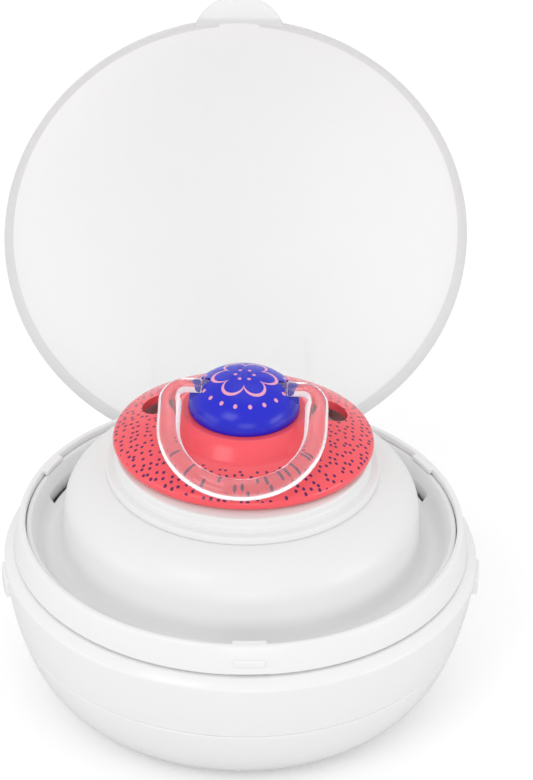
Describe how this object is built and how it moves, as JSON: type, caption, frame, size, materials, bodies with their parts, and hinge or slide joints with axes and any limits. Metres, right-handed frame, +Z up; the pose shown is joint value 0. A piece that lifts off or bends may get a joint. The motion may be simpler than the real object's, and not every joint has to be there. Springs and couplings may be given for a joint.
{
  "type": "soother steriliser case",
  "caption": "Round steam steriliser case with a hinged frosted lid, a water bowl and a domed tray that carries a soother with a ring handle.",
  "frame": {"origin": "centre of the flat foot under the bowl", "axes": "+Z up, -Y towards the catch and the viewer, +Y towards the hinge, +X to the viewer's right"},
  "size_m": [0.0804, 0.1203, 0.104],
  "materials": {
    "white_case": "glossy white polypropylene",
    "white_tray": "satin white polypropylene",
    "frosted_lid": "frosted translucent polypropylene",
    "coral_shield": "glossy coral polypropylene with small dots",
    "blue_button": "glossy indigo polypropylene with a pale motif",
    "clear_teat": "clear silicone",
    "clear_handle": "clear, slightly pink, with white outlines"
  },
  "bodies": {
    "base": {"water_bowl": "white_case", "base_shell": "white_case", "rim_ring": "white_case", "soother_tray": "white_tray", "seat_ring": "white_tray", "hinge_pin_left": "white_case", "hinge_pin_right": "white_case"},
    "lid": {"lid": "frosted_lid"},
    "soother": {"soother_shield": "coral_shield", "soother_button": "blue_button", "soother_plug": "coral_shield", "soother_teat": "clear_teat"},
    "handle": {"soother_handle": "clear_handle"}
  },
  "joints": [
    {"name": "lid_hinge", "type": "hinge", "parent": "base", "child": "lid", "pos_m": [0, 0.0362, 0.0244], "axis": [1, 0, 0], "range_deg": [0, 97.7]},
    {"name": "soother_turn", "type": "hinge", "parent": "base", "child": "soother", "pos_m": [0, 0, 0.0448], "axis": [0, 0, 1], "continuous": true},
    {"name": "handle_swing", "type": "hinge", "parent": "soother", "child": "handle", "pos_m": [0, 0, 0.0563], "axis": [-0.9969, 0.0785, 0], "range_deg": [0, 220]}
  ]
}
